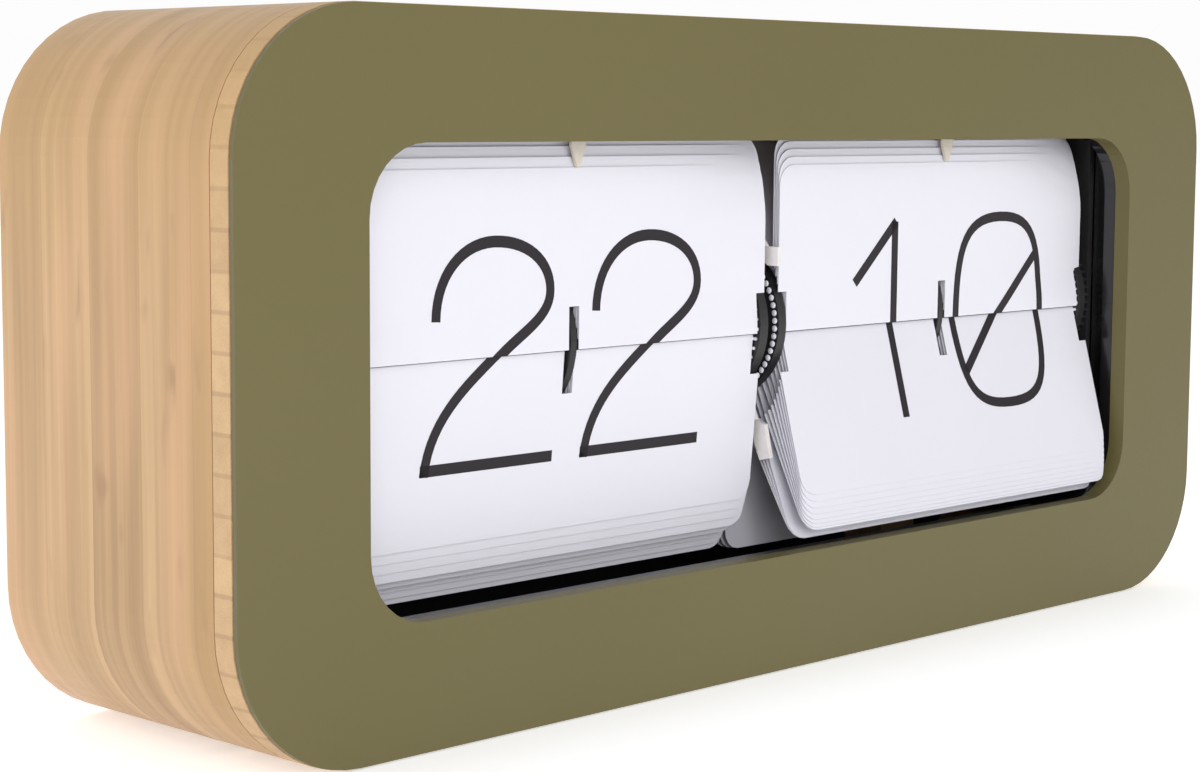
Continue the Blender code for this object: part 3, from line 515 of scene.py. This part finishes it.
def stroke_strips(bm, line, width):
    """Adds a flat strip of the given width along a centre line, in the (x, y) plane."""
    closed = (Vector(line[0]) - Vector(line[-1])).length < 0.01
    points = [Vector(p) for p in (line[:-1] if closed else line)]
    count = len(points)
    pairs = []
    for i, point in enumerate(points):
        before = points[i - 1] if (i or closed) else point
        after = points[(i + 1) % count] if (i < count - 1 or closed) else point
        arrive, leave = point - before, after - point
        if arrive.length < 1e-6:
            arrive = leave
        if leave.length < 1e-6:
            leave = arrive
        along = (arrive.normalized() + leave.normalized()).normalized()
        across = Vector((-along.y, along.x)) * width / 2
        across /= max(0.5, along.dot(leave.normalized()))
        pairs.append((bm.verts.new((*(point - across), 0.0)), bm.verts.new((*(point + across), 0.0))))
    for i in range(count if closed else count - 1):
        a, b = pairs[i], pairs[(i + 1) % count]
        bm.faces.new((a[0], b[0], b[1], a[1]))


# ---------------------------------------------------------------- leaves
def tip_of(points, pin, nearest=False):
    """Middle of a leaf's far edge, or of its edge at the pins, seen from the side."""
    def reach(point):
        return (Vector((point.y, point.z)) - pin).length
    end = (min if nearest else max)(points, key=reach)
    edge = [p for p in points if (Vector((p.y - end.y, p.z - end.z))).length < 0.21 * MM]
    return sum((Vector((0.0, p.y, p.z)) for p in edge), Vector()) / len(edge)


def leaf_frame(leaf, joint):
    """(frame, offset): X runs across the leaf and Z along it, away from its pins at the
    origin; Y points to the side that is the back when the leaf stands up.  offset is how
    far the sheet's middle plane lies from the pins along Y."""
    pin = Vector(JOINTS[joint]["pos_m"])
    low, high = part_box(leaf)
    centre = (low.x + high.x) / 2
    plate = [v.co for v in NODES[leaf].data.vertices if abs(v.co.x - centre) < 60 * MM]
    root, tip = (tip_of(plate, Vector((pin.y, pin.z)), near) for near in (True, False))
    across, away = Vector((1.0, 0.0, 0.0)), (tip - root).normalized()
    back = away.cross(across)
    frame_matrix = Matrix((across, back, away)).transposed().to_4x4()
    frame_matrix.translation = (centre, pin.y, pin.z)
    return frame_matrix, (root - Vector((0.0, pin.y, pin.z))).dot(back)


def curl(kind, x, away):
    """How far the upper leaves bend back at a point: more towards the right top corner."""
    middle, corner = DRUMS[kind]["curl"]
    share = max(0.0, x / HALF_WIDTH) ** 3
    rise = min(1.0, max(0.0, away / CURL_RISE))
    lift = max(0.0, (away - CURL_CORNER) / (LEAF_LENGTH - CURL_CORNER))
    return share * (middle * rise * rise * (3 - 2 * rise) + corner * lift * lift)


def bend(bm, leaf):
    """Cuts a flat leaf or print, given in its leaf's frame, into bands and curls it."""
    kind = leaf.split("_")[0]
    cuts = [((x * MM, 0, 0), (1, 0, 0)) for x in CURL_CUTS_X]
    cuts += [((0, 0, z * MM), (0, 0, 1)) for z in CURL_CUTS_Z]
    for point, normal in cuts:
        geometry = bm.verts[:] + bm.edges[:] + bm.faces[:]
        bmesh.ops.bisect_plane(bm, geom=geometry, dist=1e-6, plane_co=point, plane_no=normal)
    for vertex in bm.verts:
        vertex.co.y += curl(kind, vertex.co.x, vertex.co.z)


def leaf_sheet(name, leaf, joint, curled):
    """A leaf's mesh in its own frame, curled or flat."""
    frame_matrix, _ = leaf_frame(leaf, joint)
    bm = bmesh.new()
    bm.from_mesh(NODES[leaf].data)
    bm.transform(frame_matrix.inverted())
    bmesh.ops.dissolve_limit(bm, angle_limit=math.radians(0.5), verts=bm.verts[:],
                             edges=bm.edges[:])
    if curled:
        bend(bm, leaf)
    return mesh_from(name, bm)


def curl_upper_leaves(kind):
    """Curled sheets that stand for the upper leaves of a drum."""
    for i in range(1, DRUMS[kind]["tops"] + 1):
        leaf = f"{kind}_leaf_top_{i}"
        joint = f"{kind}_leaf_flip" if i == 1 else leaf + "_swing"
        sheet = leaf_sheet(leaf + "_curled", leaf, joint, True)
        piece = make_piece(sheet.name, sheet, leaf, "leaf_white")
        piece.matrix_world = leaf_frame(leaf, joint)[0]
        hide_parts(leaf)


def print_numerals(name, leaf, joint, lines, upper):
    """Prints the upper or lower half of some numerals on a leaf, on its front when it
    stands up or, for the lower half, on the side that faces forward when it hangs."""
    kind = leaf.split("_")[0]
    drum = DRUMS[kind]
    frame_matrix, offset = leaf_frame(leaf, joint)
    first, step = math.radians(drum["first_top"]), math.radians(drum["step"])
    gap = PIN_CIRCLE * (math.sin(first) - math.sin(first - step)) / 2
    side = -1.0 if upper else 1.0
    bm = bmesh.new()
    for line in lines:
        stroke_strips(bm, line, STROKE / MM)
    edge = (gap - drum["edge"]) / MM * -side
    bmesh.ops.bisect_plane(bm, geom=bm.verts[:] + bm.edges[:] + bm.faces[:],
                           plane_co=(0, edge, 0), plane_no=(0, side, 0), clear_outer=True)
    for vertex in bm.verts:
        vertex.co = Vector((vertex.co.x * MM, offset + side * (LEAF_HALF_THICKNESS + PRINT_LIFT),
                            abs(vertex.co.y) * MM - gap))
    if "_top_" in leaf:
        bend(bm, leaf)
    mesh = bpy.data.meshes.new(name)
    bmesh.ops.recalc_face_normals(bm, faces=bm.faces[:])
    bm.to_mesh(mesh)
    bm.free()
    if sum(p.normal.y for p in mesh.polygons) * side < 0:
        mesh.flip_normals()
    piece = make_piece(name, mesh, leaf, "numeral_ink")
    piece.matrix_world = frame_matrix


for kind in DRUMS:
    curl_upper_leaves(kind)

HOUR_NOW, HOUR_NEXT = two(-44.0) + two(6.8), two(-44.0) + three(6.8)
MINUTE_NOW, MINUTE_NEXT = one(-21.2) + nought(26.6), one(-21.2) + one(28.8)
print_numerals("hour_print_upper", "hour_leaf_top_1", "hour_leaf_flip", HOUR_NOW, True)
print_numerals("hour_print_lower", "hour_leaf_low_1", "hour_leaf_low_1_swing", HOUR_NOW, False)
print_numerals("hour_print_next_upper", "hour_leaf_top_2", "hour_leaf_top_2_swing", HOUR_NEXT, True)
print_numerals("hour_print_next_lower", "hour_leaf_top_1", "hour_leaf_flip", HOUR_NEXT, False)
print_numerals("minute_print_upper", "minute_leaf_top_1", "minute_leaf_flip", MINUTE_NOW, True)
print_numerals("minute_print_lower", "minute_leaf_low_1", "minute_leaf_low_1_swing", MINUTE_NOW,
               False)
print_numerals("minute_print_next_upper", "minute_leaf_top_2", "minute_leaf_top_2_swing",
               MINUTE_NEXT, True)
print_numerals("minute_print_next_lower", "minute_leaf_top_1", "minute_leaf_flip", MINUTE_NEXT,
               False)


# ---------------------------------------------------------------- the drums' other leaves
def pin_at(angle):
    """(y, z) of a pin at an angle in degrees, 0 at the front and 90 at the top."""
    turn = math.radians(angle)
    return AXLE.y - PIN_CIRCLE * math.cos(turn), AXLE.z + PIN_CIRCLE * math.sin(turn)


def leaf_direction(kind, angle):
    """Direction of a leaf from its pin, in degrees: -90 hangs down, 0 points back, 90 is up.

    Past the top the leaves fan out, short of the back panel.  The hour leaves below hang
    leaning back, more with each leaf and then less.  The front minute leaves lean forward with
    their free edges together, and those behind hang straight down.
    """
    if angle > 90.0:
        return -BACK_DROOP * (1.0 - (2.0 - angle / 90.0) ** BACK_DROOP_POWER)
    if angle > 0.0:
        return (90.0 - angle) * TOP_SPREAD
    if kind == "minute":
        if angle < MINUTE_LAST_LEANING:
            return -90.0
        reach = pin_at(angle)[0] - MINUTE_TIPS_Y
        return -90.0 - math.degrees(math.asin(reach / LEAF_LENGTH))
    if angle > HOUR_MORE_FROM:
        return -90.0 + HOUR_FIRST_LEAN
    if angle > HOUR_LESS_FROM:
        return -90.0 + HOUR_SECOND_LEAN + (HOUR_MORE_FROM - angle) * HOUR_LEAN_GAIN
    return -90.0 + HOUR_MOST_LEAN - (HOUR_LESS_FROM - angle) * HOUR_LEAN_LOSS


def add_rear_leaves(kind):
    """The leaves of a drum that are not CAD nodes, each on its own pair of pins."""
    drum = DRUMS[kind]
    low = f"{kind}_leaf_low_{drum['lows']}"
    sheet = leaf_sheet(f"{kind}_flat_sheet", low, low + "_swing", False)
    sheet.materials.clear()
    sheet.materials.append(FINISHES["leaf_white"])
    centre = (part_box(low)[0].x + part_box(low)[1].x) / 2
    across = Vector((1.0, 0.0, 0.0))
    first = drum["first_top"] - (drum["lows"] + 1) * drum["step"]
    for i in range(drum["count"] - drum["tops"] - drum["lows"]):
        angle = first - i * drum["step"]
        if angle < -180.0:
            angle += 360.0
        direction = math.radians(leaf_direction(kind, angle))
        away = Vector((0.0, math.cos(direction), math.sin(direction)))
        piece = bpy.data.objects.new(f"{kind}_leaf_rear_{i + 1:02d}", sheet)
        bpy.context.scene.collection.objects.link(piece)
        place_at = Matrix((across, away.cross(across), away)).transposed().to_4x4()
        place_at.translation = (centre, *pin_at(angle))
        piece.matrix_world = place_at
        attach(piece, f"{kind}_drum")


for kind in DRUMS:
    add_rear_leaves(kind)


# ---------------------------------------------------------------- pin ends on the discs
def add_pin_ends(kind, side):
    """The leaf pins' white ends, a ring of low domes on a disc's outer face."""
    drum = DRUMS[kind]
    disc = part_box(f"{kind}_disc_{'left' if side < 0 else 'right'}")
    face = disc[0].x if side < 0 else disc[1].x
    bm = bmesh.new()
    for i in range(drum["count"]):
        y, z = pin_at(drum["first_top"] + i * drum["step"])
        rings = []
        for radius, out in PIN_END_PROFILE:
            ring = []
            for k in range(PIN_END_SIDES):
                turn = 2 * math.pi * k / PIN_END_SIDES
                ring.append(bm.verts.new((face + side * out * MM, y + radius * MM * math.cos(turn),
                                          z + radius * MM * math.sin(turn))))
            rings.append(ring)
        skin_rings(bm, rings)
    mesh = mesh_from(f"{kind}_pin_ends_{'left' if side < 0 else 'right'}", bm, 50.0)
    make_piece(mesh.name, mesh, f"{kind}_drum", "leaf_white")


for kind in DRUMS:
    for side in (-1, 1):
        add_pin_ends(kind, side)


# ---------------------------------------------------------------- the back
def lies_at(face, y):
    """Whether a face lies flat at a height along Y."""
    return all(abs(v.co.y - y) < FLAT for v in face.verts)


def sink_cross_recess(bm, top):
    """Sinks a tapered cross into the flat middle of a screw head that faces +Y."""
    for axis in (0, 2):
        for at in (-RECESS_REACH, -RECESS_HALF_WIDTH, RECESS_HALF_WIDTH, RECESS_REACH):
            point, normal = Vector(), Vector()
            point[axis], normal[axis] = at, 1.0
            flat = [f for f in bm.faces if lies_at(f, top)]
            parts = {e for f in flat for e in f.edges} | {v for f in flat for v in f.verts}
            bmesh.ops.bisect_plane(bm, geom=flat + list(parts), dist=1e-7, plane_co=point,
                                   plane_no=normal)
    cross = []
    for face in bm.faces:
        middle = face.calc_center_median()
        narrow, wide = sorted((abs(middle.x), abs(middle.z)))
        if lies_at(face, top) and narrow < RECESS_HALF_WIDTH and wide < RECESS_REACH:
            cross.append(face)
    sunk = bmesh.ops.extrude_face_region(bm, geom=cross)["geom"]
    bmesh.ops.delete(bm, geom=cross, context="FACES")
    for vertex in (v for v in sunk if isinstance(v, bmesh.types.BMVert)):
        vertex.co.y -= RECESS_DEPTH
        vertex.co.x *= RECESS_TAPER
        vertex.co.z *= RECESS_TAPER


def add_panel_screw(number):
    """Pan-head screw with a cross recess, in place of the plain one."""
    name = f"back_panel_screw_{number}"
    low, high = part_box(name)
    centre = (low + high) / 2
    seat = high.y - SCREW_HEAD_HEIGHT
    profile = [(0.5 * MM, low.y + 0.3 * MM), (SCREW_SHANK, low.y + 2.2 * MM), (SCREW_SHANK, seat),
               (SCREW_HEAD, seat), (SCREW_HEAD, high.y - 1.1 * MM), (2.8 * MM, high.y - 0.6 * MM),
               (2.3 * MM, high.y - 0.2 * MM), (1.7 * MM, high.y)]
    bm = bmesh.new()
    rings = []
    for radius, y in profile:
        ring = []
        for k in range(SCREW_SIDES):
            turn = 2 * math.pi * k / SCREW_SIDES
            ring.append(bm.verts.new((radius * math.cos(turn), y - centre.y,
                                      radius * math.sin(turn))))
        rings.append(ring)
    skin_rings(bm, rings)
    sink_cross_recess(bm, high.y - centre.y)
    piece = make_piece(name + "_head", mesh_from(name + "_head", bm, 30.0), "case", "steel")
    piece.matrix_world = Matrix.Translation(centre)
    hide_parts(name)


def rounded_bar(bm, low, high, radius):
    """Adds a box from low to high whose outer (+Y) edges and corners are rounded."""
    centre, size = (low + high) / 2, high - low
    made = bmesh.ops.create_cube(bm, size=1.0)["verts"]
    for vertex in made:
        vertex.co = centre + vertex.co * size
    edges = {e for v in made for e in v.link_edges
             if not all(abs(p.co.y - low.y) < 1e-7 for p in e.verts)}
    bmesh.ops.bevel(bm, geom=list(edges), offset=radius, segments=3, affect="EDGES", profile=0.5)


def add_door_ridges():
    """Grip ridges across the top of the battery door."""
    low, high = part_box("battery_door")
    centre_x = (low.x + high.x) / 2
    bm = bmesh.new()
    for i in range(RIDGE_COUNT):
        z = high.z - RIDGE_TOP - i * RIDGE_PITCH
        rounded_bar(bm, Vector((centre_x, high.y - 1.3 * MM, z)) - RIDGE_HALF,
                    Vector((centre_x, high.y - 0.05 * MM, z)) + RIDGE_HALF, 0.4 * MM)
    make_piece("battery_door_ridges", mesh_from("battery_door_ridges", bm), "battery_door",
               "black_plastic")


def add_thumbwheel_frame():
    """Raised frame round the slot of the setting thumbwheel."""
    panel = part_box("back_panel")[1].y
    low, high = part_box("setting_thumbwheel")
    left, right = low.x - 4.2 * MM, high.x + 4.2 * MM
    bottom, top = low.z - 3.0 * MM, high.z + 3.0 * MM
    bm = bmesh.new()
    for (x0, z0), (x1, z1) in (((left, bottom), (left + FRAME_BAR, top)),
                               ((right - FRAME_BAR, bottom), (right, top)),
                               ((left, bottom), (right, bottom + FRAME_BAR)),
                               ((left, top - FRAME_BAR), (right, top))):
        rounded_bar(bm, Vector((x0, panel - 0.2 * MM, z0)), Vector((x1, panel + 0.8 * MM, z1)),
                    0.35 * MM)
    make_piece("thumbwheel_frame", mesh_from("thumbwheel_frame", bm), "case", "black_plastic")


for number in range(1, 5):
    add_panel_screw(number)
add_door_ridges()
add_thumbwheel_frame()


# ---------------------------------------------------------------- studio
def add_floor():
    """Plain pale floor under the clock, which glows a little."""
    bpy.ops.mesh.primitive_plane_add(size=FLOOR_SIZE, location=(0.0, 0.0, -FLOOR_DROP))
    floor = bpy.context.object
    floor.name = "studio_floor"
    material, tree, shader = finish("studio_floor", 0.7, specular=0.2)
    drift = noise(tree, place(tree)[0], 0.6, 1.0)
    tree.links.new(mix(tree, drift, (0.88, 0.88, 0.88), (0.90, 0.90, 0.90)),
                   shader.inputs["Base Color"])
    shader.inputs["Emission Color"].default_value = (1.0, 1.0, 1.0, 1.0)
    shader.inputs["Emission Strength"].default_value = 0.44
    floor.data.materials.append(material)


def add_light(name, place_at, size, power):
    """A square soft light at a place, aimed at the clock."""
    data = bpy.data.lights.new(name, "AREA")
    data.shape, data.size, data.energy = "SQUARE", size, power
    light = bpy.data.objects.new(name, data)
    light.location = place_at
    light.rotation_euler = (Vector(LIGHTS_AIM) - Vector(place_at)).to_track_quat("-Z", "Y").to_euler()
    bpy.context.scene.collection.objects.link(light)


def add_camera():
    """Camera to the left of the clock, looking slightly down at its front."""
    data = bpy.data.cameras.new("camera")
    data.lens, data.sensor_width = CAMERA_LENS, 36.0
    camera = bpy.data.objects.new("camera", data)
    level = math.cos(CAMERA_PITCH)
    forward = Vector((math.sin(CAMERA_YAW) * level, math.cos(CAMERA_YAW) * level,
                      math.sin(CAMERA_PITCH)))
    right = Vector((math.cos(CAMERA_YAW), -math.sin(CAMERA_YAW), 0.0))
    up = right.cross(forward)
    across = right * math.cos(CAMERA_ROLL) + up * math.sin(CAMERA_ROLL)
    upward = up * math.cos(CAMERA_ROLL) - right * math.sin(CAMERA_ROLL)
    view = Matrix((across, upward, -forward)).transposed().to_4x4()
    view.translation = CAMERA_PLACE
    camera.matrix_world = view
    bpy.context.scene.collection.objects.link(camera)
    bpy.context.scene.camera = camera


def add_world():
    """White backdrop behind the clock, dimmer surroundings in front of it."""
    world = bpy.data.worlds.new("studio")
    world.use_nodes = True
    tree = world.node_tree
    split = tree.nodes.new("ShaderNodeSeparateXYZ")
    tree.links.new(add_node(tree, "TexCoord"), split.inputs[0])
    strength = ramp(tree, split.outputs[1], -0.15, 0.35, 0.45, 0.98)
    background = tree.nodes["Background"]
    background.inputs[0].default_value = (1.0, 1.0, 1.0, 1.0)
    tree.links.new(strength, background.inputs[1])
    bpy.context.scene.world = world


add_floor()
add_camera()
add_light("key_soft_box", (-1.1, -1.5, 0.8), 0.9, 14.0)
add_light("side_soft_box", (-1.9, 0.1, 0.5), 1.2, 4.3)
add_light("fill_soft_box", (-0.3, -1.8, 0.2), 1.2, 11.0)
add_world()
bpy.context.scene.view_settings.view_transform = "Standard"
